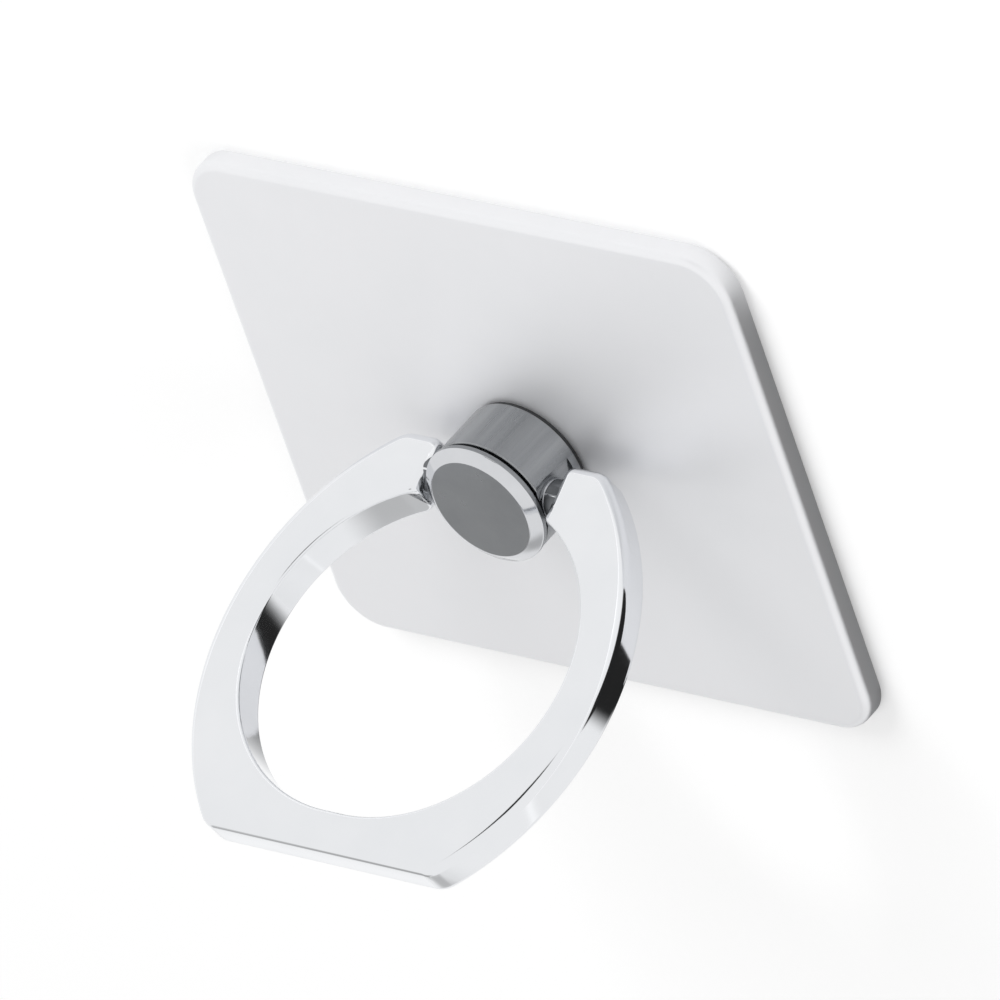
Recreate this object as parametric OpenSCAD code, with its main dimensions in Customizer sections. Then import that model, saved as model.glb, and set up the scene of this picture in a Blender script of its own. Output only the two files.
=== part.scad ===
// Adhesive finger ring holder: a thin plate that sticks to a flat back, a post that turns on it, and a
// ring that folds. Origin: where the swivel axis meets the adhesive face. +Z runs out of the plate along that
// axis, X runs along the hinge, and the ring is folded out towards -Y.

/* [Plate] */
// Size of the cover plate along the hinge
plate_w = 40; // [34:0.5:46]
// Size of the cover plate across the hinge
plate_h = 35; // [32:0.5:42]
// How far the plate's middle lies from the swivel axis, away from the ring's foot
plate_shift = 0.6; // [0:0.1:1.5]
// Thickness of the metal cover plate
plate_t = 1.5; // [1.4:0.05:2.4]
// Radius of the plate's corners in plan
corner_r = 3; // [1.5:0.25:5]
// Rounding of the plate's front edge
edge_r = 0.5; // [0.2:0.05:0.8]

/* [Adhesive pad] */
// Thickness of the adhesive pad
pad_t = 0.3; // [0.2:0.05:0.8]
// How far the pad's edge lies inside the plate's edge
pad_inset = 0.5; // [0.3:0.1:1.2]

/* [Hub behind the plate] */
// Radius of the disc that keeps the adhesive off the rivet
hub_cover_r = 7; // [6:0.25:9]
// Thickness of that disc
hub_cover_t = 0.2; // [0.1:0.05:0.25]
// Free depth between the disc and the rivet's peened tail
tail_gap = 0.1; // [0.05:0.01:0.15]
// Radius of the rivet's peened tail
tail_r = 2.4; // [1.8:0.1:3]
// Thickness of the rivet's peened tail
tail_t = 0.3; // [0.2:0.05:0.35]
// Radius of the flat washer under the tail
rivet_washer_r = 4.6; // [3.8:0.1:5.2]
// Thickness of the flat washer
rivet_washer_t = 0.2; // [0.15:0.01:0.25]
// Radius of the dished spring washer that gives the swivel its drag
spring_washer_r = 4.3; // [3.6:0.1:5]
// Thickness of the spring washer's metal
spring_washer_t = 0.13; // [0.08:0.01:0.16]
// Height of the spring washer as fitted
spring_washer_h = 0.2; // [0.18:0.01:0.24]

/* [Post] */
// Radius of the post
post_r = 4.1; // [4:0.05:5]
// Height of the post's body
post_h = 3.8; // [3.6:0.05:4.6]
// Height of the full round flange at the foot of the body
flange_h = 0.6; // [0.3:0.05:1]
// Distance from the swivel axis to each flat that a hinge washer sits on
flat_x = 3.85; // [3.6:0.05:3.9]
// Radius of the spigot that turns in the plate
spigot_r = 2; // [1.6:0.05:2.4]
// Radius of the neck between the body and the cap
neck_r = 3.4; // [2.6:0.1:3.6]
// Height of the groove round the neck
groove_h = 0.25; // [0.15:0.05:0.4]
// Bevel on the body's upper and lower edges
post_bevel = 0.12; // [0.05:0.01:0.2]
// Radius of the slip washer between the post and the plate
slip_washer_r = 3.95; // [3.2:0.05:4]
// Thickness of the slip washer
slip_washer_t = 0.25; // [0.15:0.05:0.4]

/* [Cap rivet] */
// Radius of the cap
cap_r = 4.15; // [3.9:0.05:4.15]
// Height of the cap's straight rim
rim_h = 0.35; // [0.2:0.05:0.6]
// Height of the cap's bevel
cap_bevel_h = 0.45; // [0.3:0.05:0.6]
// Radius of the cap's flat face
face_r = 3.45; // [3:0.05:3.7]
// Radius of the rivet's shank
shank_r = 1.1; // [0.8:0.05:1.3]

/* [Hinge] */
// Height of the hinge axis above the plate's face
hinge_h = 3; // [2.9:0.05:3]
// Radius of each hinge pin
pin_r = 0.75; // [0.6:0.05:0.85]
// Length of the pin inside the post
pin_in_post = 1.5; // [1:0.1:1.8]
// Length of the pin inside the ring's end
pin_in_ring = 2.2; // [1.5:0.1:3]
// Radius of each hinge washer
hinge_washer_r = 1.25; // [1.15:0.01:1.25]
// Thickness of each hinge washer
hinge_washer_t = 0.3; // [0.3:0.05:0.5]
// Radius of the boss on each end of the ring
boss_r = 1.2; // [1.1:0.01:1.25]
// Height of that boss
boss_h = 0.48; // [0.3:0.02:0.7]

/* [Ring] */
// Angle between the ring and the plate as it stands
ring_tilt = 67; // [20:1:120]
// Thickness of the ring
ring_t = 2.5; // [2.2:0.1:3]
// Width over the ring's curved sides
ring_w = 28; // [27.4:0.2:30]
// Radius of the curved sides
side_r = 17.6; // [17:0.1:22]
// Distance from the hinge axis to the widest point of the curved sides
side_v = 11.9; // [11:0.1:12.5]
// Rounding of the four corners where a curved side meets the foot or an end
outline_r = 1.5; // [1:0.1:2.5]
// Width of the finger hole along the hinge
hole_w = 22.6; // [21.5:0.1:23]
// Height of the finger hole away from the hinge
hole_h = 21.3; // [20.5:0.1:21.5]
// Distance from the hinge axis to where the hole's round would start
hole_drop = 0.95; // [0.8:0.05:1.5]
// Metal left between the hole and the flat foot
foot_t = 2.5; // [2:0.1:4]
// How far the ring's ends rise past the hinge axis
end_rise = 1.85; // [1.6:0.05:2.1]
// Bevel round the ring's outer edges
ring_bevel = 0.55; // [0.2:0.05:0.6]
// Bevel round the finger hole
hole_bevel = 0.2; // [0.1:0.05:0.4]

/* [Clearances] */
// Radial clearance of a shaft that turns in its hole
run_gap = 0.05; // [0.02:0.01:0.08]
// Radial clearance of a shaft pressed into its hole
press_gap = 0.01; // [0.01:0.005:0.02]
// End play between faces that slide on each other
end_play = 0.02; // [0.01:0.01:0.05]

/* [Hidden] */
$fn = 96;

// Overshoot of a cut past the face it opens
cut = 1;

// Levels behind and above the plate, counted from the adhesive face
plate_z = pad_t;
hub_cover_top = plate_z + hub_cover_t;
tail_z = hub_cover_top + tail_gap;
rivet_washer_z = tail_z + tail_t;
spring_z = rivet_washer_z + rivet_washer_t;
web_z = spring_z + spring_washer_h + end_play;
plate_top = plate_z + plate_t;
slip_z = plate_top + end_play;
body_z = slip_z + slip_washer_t;
body_top = body_z + post_h;
cap_z = body_top + groove_h;
hinge_z = plate_top + hinge_h;

// Radius of the recess that the hub's washers turn in
recess_r = max(rivet_washer_r, spring_washer_r) + 0.4;

// Distances along the hinge, counted from the swivel axis
washer_x = flat_x + hinge_washer_t;
boss_x = washer_x + end_play;
ring_end_x = boss_x + boss_h;

// Distances along the ring, counted from the hinge axis
hole_v = hole_drop + hole_h / 2;
foot_v = hole_drop + hole_h + foot_t;
hole_r = hole_h / 2;
side_x = side_r - ring_w / 2;

// Half a slab's section, from a corner's centre out to the edge, with the upper edge rounded by round_r
module slab_section(reach, thick, round_r) {
    square([reach, thick - round_r]);
    square([reach - round_r, thick]);
    translate([reach - round_r, thick - round_r]) circle(round_r);
}

// Slab with round corners whose edge follows slab_section all the way round
module slab(wide, high, thick, plan_r, round_r) {
    span_x = wide - 2 * plan_r;
    span_y = high - 2 * plan_r;
    for (x = [-1, 1], y = [-1, 1])
        translate([x * span_x / 2, y * span_y / 2, 0])
            rotate_extrude() intersection() {
                slab_section(plan_r, thick, round_r);
                square([plan_r, thick]);
            }
    for (side = [0, 1]) {
        rotate([90, 0, 90]) linear_extrude(span_x, center = true)
            mirror([side, 0]) slab_section(high / 2, thick, round_r);
        rotate([90, 0, 0]) linear_extrude(span_y, center = true)
            mirror([side, 0]) slab_section(wide / 2, thick, round_r);
    }
}

// Round bar along X from x_from to x_to, at the hinge axis
module hinge_bar(radius, x_from, x_to) {
    translate([x_from, 0, hinge_z]) rotate([0, 90, 0]) cylinder(h = x_to - x_from, r = radius);
}

// Disc centred on its thickness with both rims bevelled
module bevelled_disc(radius, thick, bevel) {
    rotate_extrude() polygon([
        [0, -thick / 2], [radius - bevel, -thick / 2], [radius, -thick / 2 + bevel],
        [radius, thick / 2 - bevel], [radius - bevel, thick / 2], [0, thick / 2]
    ]);
}

// Places a ring drawn flat, with its hinge axis on X and its foot towards -Y, at its standing tilt
module stand_ring() {
    translate([0, 0, hinge_z]) rotate([-ring_tilt, 0, 0]) children();
}

module cover_plate() {
    color("gainsboro") difference() {
        translate([0, plate_shift, plate_z]) slab(plate_w, plate_h, plate_t, corner_r, edge_r);
        translate([0, 0, plate_z - cut]) cylinder(h = hub_cover_t + cut, r = hub_cover_r + run_gap);
        translate([0, 0, plate_z]) cylinder(h = web_z - plate_z, r = recess_r);
        cylinder(h = plate_top + cut, r = spigot_r + run_gap);
    }
}

module adhesive_pad() {
    color("whitesmoke") translate([0, plate_shift, 0])
        slab(plate_w - 2 * pad_inset, plate_h - 2 * pad_inset, pad_t, corner_r - pad_inset, 0.05);
}

module hub_cover() {
    color("dimgray") translate([0, 0, plate_z]) cylinder(h = hub_cover_t, r = hub_cover_r);
}

module swivel_post() {
    color("darkgray") difference() {
        rotate_extrude() polygon([
            [0, spring_z], [spigot_r, spring_z], [spigot_r, body_z], [post_r - post_bevel, body_z],
            [post_r, body_z + post_bevel], [post_r, body_top - post_bevel], [post_r - post_bevel, body_top],
            [neck_r, body_top], [neck_r, cap_z], [0, cap_z]
        ]);
        for (side = [-1, 1]) {
            // Flat that the hinge washer sits on, above the flange
            translate([side * (flat_x + post_r / 2), 0, body_z + flange_h + post_h / 2])
                cube([post_r, 2 * post_r, post_h], center = true);
            // Bearing hole of the hinge pin
            mirror([side > 0 ? 0 : 1, 0, 0])
                hinge_bar(pin_r + run_gap, flat_x - pin_in_post - end_play, post_r + cut);
        }
        translate([0, 0, spring_z - cut]) cylinder(h = cap_z - spring_z + 2 * cut, r = shank_r + press_gap);
    }
}

module slip_washer() {
    color("black") translate([0, 0, slip_z]) difference() {
        cylinder(h = slip_washer_t, r = slip_washer_r);
        translate([0, 0, -cut]) cylinder(h = slip_washer_t + 2 * cut, r = spigot_r + run_gap);
    }
}

module spring_washer() {
    lift = spring_washer_h - spring_washer_t;
    bore_r = spigot_r + run_gap;
    color("silver") translate([0, 0, spring_z]) rotate_extrude() polygon([
        [bore_r, 0], [spring_washer_r, lift], [spring_washer_r, spring_washer_h], [bore_r, spring_washer_t]
    ]);
}

module rivet_washer() {
    color("silver") translate([0, 0, rivet_washer_z]) difference() {
        cylinder(h = rivet_washer_t, r = rivet_washer_r);
        translate([0, 0, -cut]) cylinder(h = rivet_washer_t + 2 * cut, r = shank_r + press_gap);
    }
}

module cap_rivet() {
    cap_top = cap_z + rim_h + cap_bevel_h;
    color("slategray") rotate_extrude() polygon([
        [0, tail_z], [tail_r - tail_t / 2, tail_z], [tail_r, tail_z + tail_t / 2], [tail_r, rivet_washer_z],
        [shank_r, rivet_washer_z], [shank_r, cap_z], [cap_r, cap_z], [cap_r, cap_z + rim_h],
        [face_r, cap_top], [0, cap_top]
    ]);
}

module hinge_washers() {
    color("silver") for (side = [0, 1]) mirror([side, 0, 0]) difference() {
        hinge_bar(hinge_washer_r, flat_x, washer_x);
        hinge_bar(pin_r + run_gap, flat_x - cut, washer_x + cut);
    }
}

module hinge_pins() {
    tip = 0.15;
    color("silver") for (side = [0, 1]) mirror([side, 0, 0]) {
        hinge_bar(pin_r, flat_x - pin_in_post + tip, ring_end_x + pin_in_ring);
        translate([flat_x - pin_in_post, 0, hinge_z]) rotate([0, 90, 0])
            cylinder(h = tip, r1 = pin_r - tip, r2 = pin_r);
    }
}

// Finger hole with both edges bevelled: two round ends and the short straight between them
module finger_hole() {
    flat_w = hole_w - hole_h;
    over = ring_t / 2 + cut;
    flare = hole_bevel + cut;
    half = [
        [0, -over], [hole_r + flare, -over], [hole_r, -ring_t / 2 + hole_bevel],
        [hole_r, ring_t / 2 - hole_bevel], [hole_r + flare, over], [0, over]
    ];
    translate([0, -hole_v, 0]) {
        for (x = [-1, 1]) translate([x * flat_w / 2, 0, 0]) rotate_extrude() polygon(half);
        for (side = [0, 1]) rotate([90, 0, 90]) linear_extrude(flat_w, center = true)
            mirror([side, 0]) polygon(half);
    }
}

// Middle of the round that joins the right curved side to the flat that lies at y = level
function round_at(level) =
    let (y = level - sign(level) * outline_r)
    [sqrt(pow(side_r - outline_r, 2) - pow(y + side_v, 2)) - side_x, y];

// Wedge between the two radii of that round that end on the flat and on the curved side
module round_wedge(level) {
    middle = round_at(level);
    to_flat = [0, sign(level)] * 2 * outline_r;
    to_side = (middle + [side_x, side_v]) / (side_r - outline_r) * 2 * outline_r;
    linear_extrude(ring_t + 2 * cut, center = true)
        polygon([middle, middle + to_flat, middle + to_flat + to_side, middle + to_side]);
}

// Ring without its hole: two curved sides, a flat foot and flat ends, with round corners and bevelled edges
module ring_blank() {
    difference() {
        intersection() {
            translate([side_x, -side_v, 0]) bevelled_disc(side_r, ring_t, ring_bevel);
            translate([-side_x, -side_v, 0]) bevelled_disc(side_r, ring_t, ring_bevel);
            rotate([90, 0, 90]) linear_extrude(ring_w + 2 * cut, center = true) polygon([
                [-foot_v + ring_bevel, -ring_t / 2], [-foot_v, -ring_t / 2 + ring_bevel],
                [-foot_v, ring_t / 2 - ring_bevel], [-foot_v + ring_bevel, ring_t / 2],
                [end_rise - ring_bevel, ring_t / 2], [end_rise, ring_t / 2 - ring_bevel],
                [end_rise, -ring_t / 2 + ring_bevel], [end_rise - ring_bevel, -ring_t / 2]
            ]);
        }
        for (side = [0, 1], level = [-foot_v, end_rise]) mirror([side, 0, 0]) round_wedge(level);
    }
    for (side = [0, 1], level = [-foot_v, end_rise]) mirror([side, 0, 0]) intersection() {
        round_wedge(level);
        translate(round_at(level)) bevelled_disc(outline_r, ring_t, ring_bevel);
    }
}

module finger_ring() {
    color("silver") difference() {
        union() {
            stand_ring() difference() {
                ring_blank();
                finger_hole();
                translate([-ring_end_x, -hole_v, -ring_t])
                    cube([2 * ring_end_x, hole_v + end_rise + cut, 2 * ring_t]);
            }
            for (side = [0, 1]) mirror([side, 0, 0]) hinge_bar(boss_r, boss_x, ring_end_x + boss_h);
        }
        for (side = [0, 1]) mirror([side, 0, 0])
            hinge_bar(pin_r + press_gap, boss_x - cut, ring_end_x + pin_in_ring + end_play);
    }
}

cover_plate();
adhesive_pad();
hub_cover();
swivel_post();
slip_washer();
spring_washer();
rivet_washer();
cap_rivet();
hinge_washers();
hinge_pins();
finger_ring();
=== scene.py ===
from math import radians

import bmesh
import bpy
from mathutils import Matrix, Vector


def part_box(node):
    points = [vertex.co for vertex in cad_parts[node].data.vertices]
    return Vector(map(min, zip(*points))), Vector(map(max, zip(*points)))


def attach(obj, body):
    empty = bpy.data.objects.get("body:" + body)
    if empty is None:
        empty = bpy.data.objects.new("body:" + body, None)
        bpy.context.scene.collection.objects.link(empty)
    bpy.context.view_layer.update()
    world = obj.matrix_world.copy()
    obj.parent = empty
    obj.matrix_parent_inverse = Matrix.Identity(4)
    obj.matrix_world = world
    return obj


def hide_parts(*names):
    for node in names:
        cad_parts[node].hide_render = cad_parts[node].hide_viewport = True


# Adhesive finger ring holder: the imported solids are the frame, and the visible metal is modelled again here
# with soft edges. Lengths in the dictionaries are in millimetres, the scene itself is in metres.

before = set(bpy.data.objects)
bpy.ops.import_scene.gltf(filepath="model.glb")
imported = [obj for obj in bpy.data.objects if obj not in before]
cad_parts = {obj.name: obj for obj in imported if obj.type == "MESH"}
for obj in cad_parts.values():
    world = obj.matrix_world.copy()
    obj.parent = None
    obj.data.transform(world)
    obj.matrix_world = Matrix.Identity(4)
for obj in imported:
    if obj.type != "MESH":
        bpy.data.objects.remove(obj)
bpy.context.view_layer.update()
bpy.ops.object.select_all(action="DESELECT")
print("frame loaded:", len(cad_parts), "solid parts")


# Small helpers

def mm(length):
    return length / 1000


def adopt(name):
    # names the primitive that was just added and puts its place into its mesh
    piece = bpy.context.object
    piece.name = piece.data.name = name
    bpy.ops.object.transform_apply(location=True, rotation=True, scale=True)
    return piece


def selectOnly(piece):
    bpy.ops.object.select_all(action="DESELECT")
    piece.select_set(True)
    bpy.context.view_layer.objects.active = piece


def settle(piece):
    # puts a turn or a move of the whole piece into its mesh
    selectOnly(piece)
    bpy.ops.object.transform_apply(location=True, rotation=True, scale=True)


def edit(piece):
    selectOnly(piece)
    bpy.ops.object.mode_set(mode="EDIT")
    bpy.ops.mesh.select_all(action="SELECT")


def leave():
    bpy.ops.object.mode_set(mode="OBJECT")


def pick(piece, kind, test):
    # selects the vertices, edges or faces that pass the test, which gets the middle in millimetres
    bpy.ops.mesh.select_mode(type=kind)
    bpy.ops.mesh.select_all(action="DESELECT")
    shape = bmesh.from_edit_mesh(piece.data)
    parts = {"VERT": shape.verts, "EDGE": shape.edges, "FACE": shape.faces}[kind]
    for part in parts:
        corners = [part.co] if kind == "VERT" else [corner.co for corner in part.verts]
        middle = sum(corners, Vector()) / len(corners) * 1000
        if test(middle, part):
            part.select_set(True)
    shape.select_flush_mode()
    bmesh.update_edit_mesh(piece.data)


def along(edge, axis):
    # true for an edge that runs along the axis 0, 1 or 2
    step = edge.verts[1].co - edge.verts[0].co
    return abs(step[axis]) > 0.99 * step.length


def turned(name, steps, sides=144, hollow=False):
    # lathe work about Z: a circle, extruded and scaled from one (radius, height) to the next
    before = steps[0]
    bpy.ops.mesh.primitive_circle_add(vertices=sides, radius=mm(before[0]), location=(0, 0, mm(before[1])),
                                      fill_type="NOTHING" if hollow else "NGON")
    piece = adopt(name)
    edit(piece)
    for step in steps[1:]:
        rise = (0, 0, mm(step[1] - before[1]))
        bpy.ops.mesh.extrude_region_move(TRANSFORM_OT_translate={"value": rise})
        share = step[0] / before[0]
        bpy.ops.transform.resize(value=(share, share, 1), center_override=(0, 0, mm(step[1])))
        before = step
    bpy.ops.mesh.select_all(action="SELECT")
    bpy.ops.mesh.remove_doubles(threshold=mm(0.0005))
    bpy.ops.mesh.normals_make_consistent(inside=False)
    leave()
    return piece


def useModifier(piece, kind, settings):
    selectOnly(piece)
    bpy.ops.object.modifier_add(type=kind)
    change = piece.modifiers[-1]
    for name, value in settings.items():
        setattr(change, name, value)
    bpy.ops.object.modifier_apply(modifier=change.name)


def carve(piece, tool, how="DIFFERENCE"):
    useModifier(piece, "BOOLEAN", {"object": tool, "operation": how, "solver": "EXACT"})
    bpy.data.objects.remove(tool)


def soften(piece, width, rows, above):
    # rounds every edge that turns by more than the angle above
    useModifier(piece, "BEVEL", {"width": mm(width), "segments": rows, "limit_method": "ANGLE",
                                 "angle_limit": radians(above), "use_clamp_overlap": False})


def shade(piece, above):
    # smooth over the rounded edges while the flats stay flat
    selectOnly(piece)
    bpy.ops.object.shade_smooth_by_angle(angle=radians(above))
    useModifier(piece, "WEIGHTED_NORMAL", {"mode": "FACE_AREA", "weight": 50, "keep_sharp": True})


def rodAlongX(radius, start, end, height):
    # a tool for bores and bosses, laid along X
    middle = (mm((start + end) / 2), 0, mm(height))
    bpy.ops.mesh.primitive_cylinder_add(vertices=64, radius=mm(radius), depth=mm(end - start),
                                        location=middle, rotation=(0, radians(90), 0))
    return adopt("rod")


# Camera: the photograph's own place, direction and roll, with a longer lens turned to the holder

cameraSettings = {
    "place": (660.8, 616.9, 610.5),
    "turn": (-47.625, 34.388, -19.678),
    "lens": 675,
    "clip": (0.01, 50),  # metres
}

camera = bpy.data.objects.new("camera", bpy.data.cameras.new("camera"))
bpy.context.scene.collection.objects.link(camera)
camera.location = [mm(value) for value in cameraSettings["place"]]
camera.rotation_euler = [radians(value) for value in cameraSettings["turn"]]
camera.data.lens = cameraSettings["lens"]
camera.data.clip_start, camera.data.clip_end = cameraSettings["clip"]
bpy.context.scene.camera = camera
bpy.context.scene.view_settings.view_transform = "Standard"
print("camera set")


# Materials

def linear(code):
    # sRGB hex to linear
    parts = [int(code[i:i + 2], 16) / 255 for i in (1, 3, 5)]
    return tuple(p / 12.92 if p <= 0.04045 else ((p + 0.055) / 1.055) ** 2.4 for p in parts) + (1.0,)


def addNode(tree, kind, settings=None, values=None, links=None):
    node = tree.nodes.new(kind)
    for name, value in (settings or {}).items():
        setattr(node, name, value)
    for name, value in (values or {}).items():
        node.inputs[name].default_value = value
    for name, source in (links or {}).items():
        tree.links.new(source, node.inputs[name])
    return node


def bareMaterial(name):
    # a material with an empty node tree
    material = bpy.data.materials.new(name)
    material.use_nodes = True
    material.node_tree.nodes.clear()
    return material, material.node_tree


def newMaterial(name):
    # the shader's own node is already joined to the output
    material, tree = bareMaterial(name)
    shader = addNode(tree, "ShaderNodeBsdfPrincipled")
    addNode(tree, "ShaderNodeOutputMaterial", links={"Surface": shader.outputs["BSDF"]})
    return material, tree, shader


def metalFinish(name, light, dark, polish, patch, grain, grainDepth, lathe=None, latheDepth=0.0, wavy=None,
                wavyDepth=0.0, stretchZ=1.0, metallic=1.0):
    # one metal surface: tone and polish drift over patches, with grain, lathe lines or a slow wave as relief;
    # patch, grain, lathe and wavy are their sizes in millimetres, and stretchZ stretches the patches along Z
    # into streaks, which on the post are painted reflections
    material, tree, shader = newMaterial(name)
    shader.inputs["Metallic"].default_value = metallic
    surface = addNode(tree, "ShaderNodeTexCoord").outputs["Object"]
    streaks = addNode(tree, "ShaderNodeMapping", values={"Scale": (1, 1, stretchZ)}, links={"Vector": surface})
    drift = addNode(tree, "ShaderNodeTexNoise",
                    values={"Scale": 1000 / patch, "Detail": 4.0, "Roughness": 0.55},
                    links={"Vector": streaks.outputs["Vector"]}).outputs["Fac"]
    fine = addNode(tree, "ShaderNodeTexNoise",
                   values={"Scale": 1000 / grain, "Detail": 3.0, "Roughness": 0.6},
                   links={"Vector": surface}).outputs["Fac"]
    tone = addNode(tree, "ShaderNodeMix", {"data_type": "RGBA"},
                   {6: linear(light), 7: linear(dark)}, {0: drift})
    gloss = addNode(tree, "ShaderNodeMapRange", values={"To Min": polish[0], "To Max": polish[1]},
                    links={"Value": drift})
    tree.links.new(tone.outputs[2], shader.inputs["Base Color"])
    tree.links.new(gloss.outputs["Result"], shader.inputs["Roughness"])
    relief = addNode(tree, "ShaderNodeBump", values={"Strength": 1.0, "Distance": mm(grainDepth)},
                     links={"Height": fine})
    if lathe:
        # at scale 1 the crests of a wave texture are 314.16 mm apart
        spacing = {"Scale": 314.16 / lathe, "Distortion": 0.6, "Detail": 2.0, "Detail Scale": 1.5}
        rings = addNode(tree, "ShaderNodeTexWave", {"wave_type": "RINGS", "rings_direction": "Z"},
                        spacing, {"Vector": surface})
        rows = addNode(tree, "ShaderNodeTexWave", {"wave_type": "BANDS", "bands_direction": "Z"},
                       spacing, {"Vector": surface})
        both = addNode(tree, "ShaderNodeMath", {"operation": "ADD"},
                       links={0: rings.outputs["Fac"], 1: rows.outputs["Fac"]})
        relief = addNode(tree, "ShaderNodeBump", values={"Strength": 1.0, "Distance": mm(latheDepth)},
                         links={"Height": both.outputs[0], "Normal": relief.outputs["Normal"]})
    if wavy:
        slow = addNode(tree, "ShaderNodeTexNoise", values={"Scale": 1000 / wavy, "Detail": 1.0},
                       links={"Vector": surface})
        relief = addNode(tree, "ShaderNodeBump", values={"Strength": 1.0, "Distance": mm(wavyDepth)},
                         links={"Height": slow.outputs["Fac"], "Normal": relief.outputs["Normal"]})
    tree.links.new(relief.outputs["Normal"], shader.inputs["Normal"])
    return material


def softFinish(name, light, dark, polish, patch, grain, grainDepth, index):
    # foam, nylon and film: tone drift and a fine cast or moulded grain, with its sizes in millimetres
    material, tree, shader = newMaterial(name)
    shader.inputs["IOR"].default_value = index
    surface = addNode(tree, "ShaderNodeTexCoord").outputs["Object"]
    drift = addNode(tree, "ShaderNodeTexNoise", values={"Scale": 1000 / patch, "Detail": 4.0},
                    links={"Vector": surface}).outputs["Fac"]
    fine = addNode(tree, "ShaderNodeTexNoise", values={"Scale": 1000 / grain, "Detail": 4.0},
                   links={"Vector": surface}).outputs["Fac"]
    tone = addNode(tree, "ShaderNodeMix", {"data_type": "RGBA"},
                   {6: linear(light), 7: linear(dark)}, {0: drift})
    gloss = addNode(tree, "ShaderNodeMapRange", values={"To Min": polish[0], "To Max": polish[1]},
                    links={"Value": fine})
    tree.links.new(tone.outputs[2], shader.inputs["Base Color"])
    tree.links.new(gloss.outputs["Result"], shader.inputs["Roughness"])
    relief = addNode(tree, "ShaderNodeBump", values={"Strength": 1.0, "Distance": mm(grainDepth)},
                     links={"Height": fine})
    tree.links.new(relief.outputs["Normal"], shader.inputs["Normal"])
    return material


# Satin silver plate over cast zinc: pale silver with a soft sheen and a faint blasted grain, no brush lines;
# the grain is drawn at 0.16 mm, coarser than a real one of about 0.05 mm, so that it shows
satinSilver = metalFinish("satinSilverPlate", "#F4F4F6", "#EEEFF1", (0.46, 0.54), 9.0, 0.16, 0.0012,
                          metallic=0.8)
# Polished chrome plate over cast zinc: near mirror, with the slow wave that buffing leaves and faint smears
polishedChrome = metalFinish("polishedChromePlate", "#ECEDEF", "#E2E4E7", (0.05, 0.10), 5.0, 0.25, 0.0002,
                             wavy=2.4, wavyDepth=0.008)
# Painted shade on the bosses in the hinge gaps: the same plate in a much darker grey and with a duller
# polish, standing in for the shade between the ring's ends and the post
gapShadeChrome = metalFinish("chromeWithPaintedGapShade", "#7E8083", "#6E7073", (0.30, 0.40), 1.2, 0.15, 0.0008)
# Turned stainless steel: mid grey, with fine lathe lines on its sides and rings on its face
turnedStainless = metalFinish("turnedStainlessSteel", "#9C9EA0", "#888A8D", (0.24, 0.34), 2.5, 0.12, 0.0008,
                              lathe=0.09, latheDepth=0.0012)
# Cold-drawn stainless bar of the post: the same grey, with painted lengthwise light and dark streaks that
# stand in for the reflections along the cylinder
postSteelPaintedStreaks = metalFinish("stainlessPaintedReflectionStreaks", "#AEB0B2", "#747679", (0.22, 0.32), 0.9, 0.12, 0.0006,
                             stretchZ=0.05)
# Turned bevel of the cap: the same steel cut with a fine tool, so smoother, and in a lighter grey that is a
# painted highlight next to the dull face
bevelPaintedHighlight = metalFinish("turnedBevelPaintedHighlight", "#D8D9DC", "#CBCDD0", (0.08, 0.14), 1.5, 0.10, 0.0003,
                          lathe=0.06, latheDepth=0.0003)
# Rolled spring steel of the washers: a little brighter and smoother than the turned parts
springSteel = metalFinish("rolledSpringSteel", "#BCBDC0", "#A9ABAF", (0.20, 0.30), 1.5, 0.10, 0.0006)
# Ground steel of the hinge pins: bright, with a faint grinding grain
groundSteel = metalFinish("groundPinSteel", "#BEBFC2", "#ABADB1", (0.14, 0.22), 1.5, 0.08, 0.0004)
# Milky acrylic foam tape: off-white, dull at its cut edge, with fine closed cells
milkyFoam = softFinish("milkyAcrylicFoam", "#DCDDDE", "#CFD1D3", (0.45, 0.6), 4.0, 0.12, 0.012, 1.48)
# Black moulded nylon of the slip washer: dull, slightly mottled; its black also paints the thin shade line
# where the post meets the plate
blackNylonAndShadeLine = softFinish("mouldedBlackNylonAndShadeLine", "#1C1D1F", "#26282A", (0.42, 0.55), 1.0, 0.10, 0.003, 1.53)
# Dark polyester film over the hub: smooth and faintly glossy
darkFilm = softFinish("darkPolyesterFilm", "#2A2B2D", "#333538", (0.28, 0.36), 3.0, 0.20, 0.001, 1.57)
print("materials made")


def dress(piece, material):
    piece.data.materials.clear()
    piece.data.materials.append(material)


def install(piece, material, node, body):
    # the piece stands for its solid, moves with its body and takes the finish of its slot
    dress(piece, material)
    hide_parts(node)
    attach(piece, body)


# Cover plate: a cast slab with round corners, a soft front edge, and the hub's recess and bore in its back

plateSettings = {
    "cornerRadius": 3.0,
    "frontRound": 0.5,
    "backDeburr": 0.08,
    # radius and height of each step of the hole behind the hub
    "recess": [(7.05, -0.5), (7.05, 0.5), (5.0, 0.5), (5.0, 1.32), (2.05, 1.32), (2.05, 2.5)],
}

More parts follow.
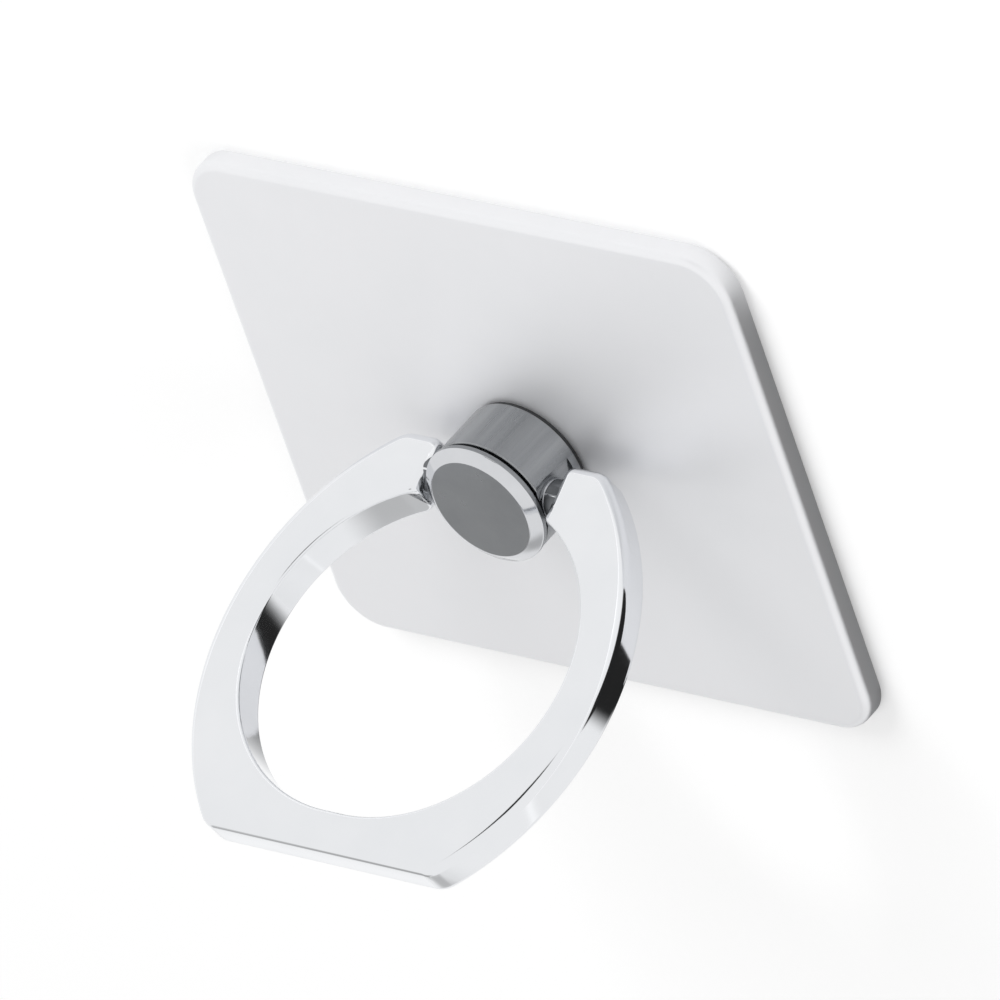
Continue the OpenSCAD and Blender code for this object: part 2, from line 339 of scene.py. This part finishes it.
low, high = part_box("cover_plate")
bpy.ops.mesh.primitive_cube_add(size=1, location=(low + high) / 2, scale=high - low)
coverPlate = adopt("coverPlate")
edit(coverPlate)
pick(coverPlate, "EDGE", lambda middle, edge: along(edge, 2))
bpy.ops.mesh.bevel(offset=mm(plateSettings["cornerRadius"]), segments=20, affect="EDGES")
top, bottom = high.z * 1000, low.z * 1000
pick(coverPlate, "EDGE", lambda middle, edge: middle.z > top - 0.001)
bpy.ops.mesh.bevel(offset=mm(plateSettings["frontRound"]), segments=7, affect="EDGES")
pick(coverPlate, "EDGE", lambda middle, edge: middle.z < bottom + 0.001)
bpy.ops.mesh.bevel(offset=mm(plateSettings["backDeburr"]), segments=2, affect="EDGES")
leave()
carve(coverPlate, turned("recessTool", plateSettings["recess"]))
shade(coverPlate, above=30)
install(coverPlate, satinSilver, "cover_plate", "base")
print("cover plate made")


# Swivel post: a turned body with a full flange, two milled flats, and bores for the rivet and the pins

postSettings = {
    # radius and height of each step
    "profile": [(2.0, 1.1), (2.0, 2.07), (4.1, 2.07), (4.1, 5.87), (3.4, 5.87), (3.4, 6.12)],
    "edgeRound": 0.12,
    "shankBore": 1.11,
    "shankCutTo": 8,
    "flatDistance": 3.85,
    "flatBottom": 2.67,
    "flatCut": (2, 9, 4),  # along X, Y and Z
    "pinBore": 0.8,
    "pinBoreStart": 2.33,
    "pinBoreEnd": 6,
    "hingeHeight": 4.8,
}

post = postSettings
swivelPost = turned("swivelPost", post["profile"])
soften(swivelPost, post["edgeRound"], rows=3, above=35)
for side in (-1, 1):
    wide, deep, tall = post["flatCut"]
    middle = (mm(side * (post["flatDistance"] + wide / 2)), 0, mm(post["flatBottom"] + tall / 2))
    bpy.ops.mesh.primitive_cube_add(size=1, location=middle, scale=(mm(wide), mm(deep), mm(tall)))
    carve(swivelPost, adopt("flatTool"))
    pinTool = rodAlongX(post["pinBore"], post["pinBoreStart"], post["pinBoreEnd"], post["hingeHeight"])
    if side < 0:
        pinTool.rotation_euler.z = radians(180)
        settle(pinTool)
    carve(swivelPost, pinTool)
shankSteps = [(post["shankBore"], 0), (post["shankBore"], post["shankCutTo"])]
carve(swivelPost, turned("shankTool", shankSteps, sides=64))
shade(swivelPost, above=30)
install(swivelPost, postSteelPaintedStreaks, "swivel_post", "swivel")
print("swivel post made")


# Cap rivet: cap with a straight rim and a bevel whose brightness is a painted highlight, shank through the
# post, tail peened over behind it

capSettings = {
    # radius and height of each step, first the tail and the shank, then the cap
    "profile": [(2.25, 0.6), (2.4, 0.75), (2.4, 0.9), (1.1, 0.9),
                (1.1, 6.12), (4.15, 6.12), (4.15, 6.47), (3.45, 6.92)],
    "edgeRound": 0.07,
    "bevelFrom": 6.44,
}

capRivet = turned("capRivet", capSettings["profile"])
soften(capRivet, capSettings["edgeRound"], rows=3, above=25)
shade(capRivet, above=20)
install(capRivet, turnedStainless, "cap_rivet", "swivel")
capRivet.data.materials.append(bevelPaintedHighlight)
# the sloping faces near the top, the bevel, take the lighter steel that paints its highlight
for face in capRivet.data.polygons:
    slopes = 0.2 < face.normal.z < 0.97  # neither a side wall nor the flat face
    face.material_index = 1 if slopes and face.center.z > mm(capSettings["bevelFrom"]) else 0
print("cap rivet made")


# Hinge washers: one flat washer on each of the post's flats

washerSettings = {"outer": 1.25, "inner": 0.8, "thick": 0.3, "edgeRound": 0.04, "start": 3.85, "height": 4.8}

outer, inner, thick = washerSettings["outer"], washerSettings["inner"], washerSettings["thick"]
washerSteps = [(outer, 0), (outer, thick), (inner, thick), (inner, 0), (outer, 0)]
hingeWashers = turned("hingeWashers", washerSteps, sides=64, hollow=True)
soften(hingeWashers, washerSettings["edgeRound"], rows=2, above=35)
hingeWashers.rotation_euler.y = radians(90)
hingeWashers.location = (mm(washerSettings["start"]), 0, mm(washerSettings["height"]))
settle(hingeWashers)
secondWasher = hingeWashers.copy()
secondWasher.data = hingeWashers.data.copy()
bpy.context.scene.collection.objects.link(secondWasher)
secondWasher.rotation_euler.z = radians(180)
settle(secondWasher)
hingeWashers.select_set(True)
bpy.context.view_layer.objects.active = hingeWashers
bpy.ops.object.join()
shade(hingeWashers, above=30)
install(hingeWashers, springSteel, "hinge_washers", "swivel")
print("hinge washers made")


# Finger ring: half its outline is drawn flat from two arcs, filled, thickened, mirrored, rounded and stood up

ringSettings = {
    "sideRadius": 17.6,
    "sideOffset": 3.6,
    "sideMiddle": 11.9,
    "holeRadius": 10.65,
    "holeOffset": 0.65,
    "holeMiddle": 11.6,
    "foot": 24.75,
    "endRise": 1.85,
    "gapHalf": 4.65,
    "thick": 2.5,
    "tilt": 67,
    "hingeHeight": 4.8,
    "footCorner": 0.6,
    "shoulder": 0.55,
    "endCorner": 0.7,
    "outerRound": 0.55,
    "holeRound": 0.2,
    "cornerRoom": 1,
    "bossRadius": 1.2,
    "bossStart": 4.17,
    "bossEnd": 5.37,
    "boreRadius": 0.76,
    "boreStart": 3.17,
    "boreEnd": 6.87,
    "paintedShadeWithin": 1.25,
}

ring = ringSettings
back = -ring["thick"] / 2
bpy.ops.mesh.primitive_circle_add(vertices=256, radius=mm(ring["sideRadius"]), fill_type="NOTHING",
                                  location=(mm(ring["sideOffset"]), mm(-ring["sideMiddle"]), mm(back)))
fingerRing = adopt("fingerRing")
edit(fingerRing)
cuts = [((0, 0, 0), (1, 0, 0)), ((0, ring["endRise"], 0), (0, 1, 0)), ((0, -ring["foot"], 0), (0, -1, 0))]
for place, facing in cuts:
    # the arc is kept left of the middle, below the ends and above the foot
    bpy.ops.mesh.select_all(action="SELECT")
    bpy.ops.mesh.bisect(plane_co=[mm(value) for value in place], plane_no=facing, clear_outer=True)
bpy.ops.mesh.select_all(action="DESELECT")
bpy.ops.mesh.primitive_circle_add(vertices=192, radius=mm(ring["holeRadius"]), fill_type="NOTHING",
                                  location=(mm(-ring["holeOffset"]), mm(-ring["holeMiddle"]), mm(back)))
bpy.ops.mesh.bisect(plane_co=(mm(-ring["holeOffset"]), 0, 0), plane_no=(1, 0, 0), clear_outer=True)


def inHole(middle):
    # on or inside the arc of the finger hole, left of the middle
    across, up = middle.x + ring["holeOffset"], middle.y + ring["holeMiddle"]
    return across ** 2 + up ** 2 < (ring["holeRadius"] + 0.1) ** 2


pick(fingerRing, "EDGE", lambda middle, edge: inHole(middle) and middle.y > -ring["holeMiddle"])
bpy.ops.mesh.bisect(plane_co=(mm(-ring["gapHalf"]), 0, 0), plane_no=(1, 0, 0), clear_outer=True)


def endOf(test):
    # the open end of a chain that passes the test
    shape = bmesh.from_edit_mesh(fingerRing.data)
    found = [v for v in shape.verts if len(v.link_edges) < 2 and test(v.co * 1000)]
    return found[0].co.copy()


def selectAt(*places):
    pick(fingerRing, "VERT", lambda middle, v: any((v.co - place).length < mm(0.002) for place in places))


def extrudeTo(start, x, y):
    selectAt(start)
    end = Vector((mm(x), mm(y), start.z))
    bpy.ops.mesh.extrude_vertices_move(TRANSFORM_OT_translate={"value": end - start})
    return end


sideTop = endOf(lambda place: place.y > 0 and not inHole(place))
sideFoot = endOf(lambda place: place.y < -20 and not inHole(place))
holeTop = endOf(lambda place: place.y > -5 and inHole(place))
holeFoot = endOf(lambda place: place.y < -20 and inHole(place))
endCorner = extrudeTo(sideTop, -ring["gapHalf"], ring["endRise"])
selectAt(endCorner, holeTop)
bpy.ops.mesh.edge_face_add()
innerFoot = extrudeTo(holeFoot, 0, holeFoot.y * 1000)
outerFoot = extrudeTo(innerFoot, 0, -ring["foot"])
selectAt(outerFoot, sideFoot)
bpy.ops.mesh.edge_face_add()
bpy.ops.mesh.select_all(action="SELECT")
bpy.ops.mesh.edge_face_add()
for corner in (holeTop, sideFoot, sideTop, endCorner):
    # the arc's own points close to a corner would stop its rounding short
    pick(fingerRing, "VERT", lambda middle, v: 0.01 < (v.co - corner).length * 1000 < ring["cornerRoom"])
    bpy.ops.mesh.dissolve_verts()
for corner, size, rows in (
    (sideFoot, "footCorner", 8),
    (sideTop, "shoulder", 8),
    (endCorner, "endCorner", 5),
):
    selectAt(corner)
    bpy.ops.mesh.bevel(offset=mm(ring[size]), segments=rows, affect="VERTICES")
bpy.ops.mesh.select_all(action="SELECT")
bpy.ops.mesh.extrude_region_move(TRANSFORM_OT_translate={"value": (0, 0, mm(ring["thick"]))})
# the wall in the mirror plane goes
pick(fingerRing, "FACE", lambda middle, face: middle.x > -0.001)
bpy.ops.mesh.delete(type="FACE")
leave()
useModifier(fingerRing, "MIRROR", {"use_axis": (True, False, False), "merge_threshold": mm(0.001)})
edit(fingerRing)
bpy.ops.mesh.normals_make_consistent(inside=False)


def rimOf(edge):
    # a sharp edge of the closed body
    return len(edge.link_faces) == 2 and edge.calc_face_angle() > radians(60)


def byHole(middle):
    # the same test for both halves of the finger hole
    across = max(abs(middle.x) - ring["holeOffset"], 0)
    return across ** 2 + (middle.y + ring["holeMiddle"]) ** 2 < (ring["holeRadius"] + 0.1) ** 2


pick(fingerRing, "EDGE", lambda middle, edge: rimOf(edge) and not along(edge, 2) and not byHole(middle))
bpy.ops.mesh.bevel(offset=mm(ring["outerRound"]), segments=6, affect="EDGES")
pick(fingerRing, "EDGE", lambda middle, edge: rimOf(edge) and not along(edge, 2) and byHole(middle))
bpy.ops.mesh.bevel(offset=mm(ring["holeRound"]), segments=4, affect="EDGES")
leave()
for side in (-1, 1):
    for radius, start, end, how in (
        (ring["bossRadius"], ring["bossStart"], ring["bossEnd"], "UNION"),
        (ring["boreRadius"], ring["boreStart"], ring["boreEnd"], "DIFFERENCE"),
    ):
        left, right = sorted((side * start, side * end))
        carve(fingerRing, rodAlongX(radius, left, right, 0), how)
shade(fingerRing, above=32)
fingerRing.rotation_euler.x = radians(-ring["tilt"])
fingerRing.location.z = mm(ring["hingeHeight"])
settle(fingerRing)
install(fingerRing, polishedChrome, "finger_ring", "ring")
fingerRing.data.materials.append(gapShadeChrome)
# faces of the bosses inside the hinge gaps, near the hinge axis, take the painted shade
for face in fingerRing.data.polygons:
    reach = Vector((0, face.center.y, face.center.z - mm(ring["hingeHeight"]))).length
    inGap = abs(face.center.x) < mm(ring["gapHalf"] - 0.01)
    face.material_index = 1 if inGap and reach < mm(ring["paintedShadeWithin"]) else 0
print("finger ring made")


# Solid parts that keep their own shape

for node, material in (
    ("adhesive_pad", milkyFoam),
    ("hub_cover", darkFilm),
    ("slip_washer", blackNylonAndShadeLine),
    ("spring_washer", springSteel),
    ("rivet_washer", springSteel),
    ("hinge_pins", groundSteel),
):
    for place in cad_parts[node].material_slots:
        place.material = material
print("solid parts dressed")


# Studio: pale floor just below the adhesive face, two soft lamps, and grey cards that only the metal mirrors

studioSettings = {
    "floorSize": 6.0,
    "floorColour": "#E0E0E0",
    "floorDrop": 0.02,
    # distance from the middle in metres, and the floor's own glow there
    "nearLift": (0.22, 0.32),
    "farLift": (0.60, 0.54),
    "worldLight": 0.62,
    "lamps": [
        # name, place and width in metres, watts
        ("keyLamp", (-0.25, 0.75, 0.55), 0.50, 4.0),
        ("fillLamp", (0.75, -0.15, 0.60), 0.60, 1.4),
    ],
    "cards": [
        # name, middle, turn in degrees, width and height in mm, tone, soft share of the rim
        ("lowCard", (39, -5, 0.05), (0, 0, 0), (124, 48), 0.02, 0.3),
        ("backCard", (30, 330, 180), (60, 0, -175), (170, 120), 0.03, 0.4),
        ("frontCard", (-80, -145, 118), (54.5, 0, -28.7), (190, 130), 0.44, 0.7),
        ("sideCard", (-4, -184, 84), (66, 0, 0), (180, 100), 0.56, 0.8),
    ],
}


def aim(thing, target=(0, 0, 0.01)):
    thing.rotation_euler = (Vector(target) - thing.location).to_track_quat("-Z", "Y").to_euler()


for name, place, size, power in studioSettings["lamps"]:
    lamp = bpy.data.objects.new(name, bpy.data.lights.new(name, "AREA"))
    bpy.context.scene.collection.objects.link(lamp)
    lamp.location = place
    lamp.data.shape = "DISK"
    lamp.data.size = size
    lamp.data.energy = power
    # the metal mirrors the even white background alone, so no lamp spot burns out on it
    lamp.visible_glossy = False
    aim(lamp)


def addCard(name, place, turn, size, tone, soft):
    # shows in reflections alone and fades out at its rim: it doesn't shade the part or enter the picture
    bpy.ops.mesh.primitive_plane_add(size=1, location=[mm(value) for value in place],
                                     rotation=[radians(value) for value in turn])
    bpy.context.object.scale = (mm(size[0]), mm(size[1]), 1)
    card = adopt(name)
    material, tree = bareMaterial(name + "Tone")
    surface = addNode(tree, "ShaderNodeTexCoord").outputs["UV"]
    centred = addNode(tree, "ShaderNodeMapping", values={"Location": (-1, -1, 0), "Scale": (2, 2, 1)},
                      links={"Vector": surface})
    positive = addNode(tree, "ShaderNodeVectorMath", {"operation": "ABSOLUTE"},
                       links={0: centred.outputs["Vector"]})
    across = addNode(tree, "ShaderNodeSeparateXYZ", links={"Vector": positive.outputs["Vector"]})
    outward = addNode(tree, "ShaderNodeMath", {"operation": "MAXIMUM"},
                      links={0: across.outputs["X"], 1: across.outputs["Y"]})
    fade = addNode(tree, "ShaderNodeMapRange", {"interpolation_type": "SMOOTHSTEP"},
                   {"From Min": 1.0 - soft, "From Max": 1.0, "To Min": tone, "To Max": 1.0},
                   {"Value": outward.outputs[0]})
    plain = addNode(tree, "ShaderNodeEmission", links={"Strength": fade.outputs["Result"]})
    addNode(tree, "ShaderNodeOutputMaterial", links={"Surface": plain.outputs[0]})
    dress(card, material)
    card.visible_camera = card.visible_diffuse = card.visible_shadow = card.visible_transmission = False


for card in studioSettings["cards"]:
    addCard(*card)


def seenRays(tree):
    # 1 for what the camera, a mirror or clear glass looks at
    rays = addNode(tree, "ShaderNodeLightPath")
    first = addNode(tree, "ShaderNodeMath", {"operation": "MAXIMUM"},
                    links={0: rays.outputs["Is Camera Ray"], 1: rays.outputs["Is Glossy Ray"]})
    both = addNode(tree, "ShaderNodeMath", {"operation": "MAXIMUM"},
                   links={0: first.outputs[0], 1: rays.outputs["Is Transmission Ray"]})
    return both.outputs[0]


world = bpy.data.worlds.new("studio")
bpy.context.scene.world = world
world.use_nodes = True
sky = world.node_tree
sky.nodes.clear()
dim = addNode(sky, "ShaderNodeBackground",
              values={"Color": (1, 1, 1, 1), "Strength": studioSettings["worldLight"]})
white = addNode(sky, "ShaderNodeBackground", values={"Color": (1, 1, 1, 1), "Strength": 1.0})
blend = addNode(sky, "ShaderNodeMixShader",
                links={"Fac": seenRays(sky), 1: dim.outputs[0], 2: white.outputs[0]})
addNode(sky, "ShaderNodeOutputWorld", links={"Surface": blend.outputs[0]})

bpy.ops.mesh.primitive_plane_add(size=studioSettings["floorSize"],
                                 location=(0, 0, mm(-studioSettings["floorDrop"])))
floor = adopt("floor")
paper, sheet = bareMaterial("palePaper")
matt = addNode(sheet, "ShaderNodeBsdfDiffuse", values={"Color": linear(studioSettings["floorColour"])})
glow = addNode(sheet, "ShaderNodeEmission", values={"Color": (1, 1, 1, 1)})
# the glow grows with the distance, so that the floor runs into the white background without a line
spot = addNode(sheet, "ShaderNodeTexCoord").outputs["Object"]
away = addNode(sheet, "ShaderNodeVectorMath", {"operation": "LENGTH"}, links={0: spot})
(nearEdge, nearLift), (farEdge, farLift) = studioSettings["nearLift"], studioSettings["farLift"]
growth = addNode(sheet, "ShaderNodeMapRange", {"interpolation_type": "SMOOTHSTEP"},
                 {"From Min": nearEdge, "From Max": farEdge, "To Min": nearLift, "To Max": farLift},
                 {"Value": away.outputs["Value"]})
lift = addNode(sheet, "ShaderNodeMath", {"operation": "MULTIPLY"},
               links={0: seenRays(sheet), 1: growth.outputs["Result"]})
sheet.links.new(lift.outputs[0], glow.inputs["Strength"])
total = addNode(sheet, "ShaderNodeAddShader", links={0: matt.outputs[0], 1: glow.outputs[0]})
addNode(sheet, "ShaderNodeOutputMaterial", links={"Surface": total.outputs[0]})
dress(floor, paper)
print("studio set")
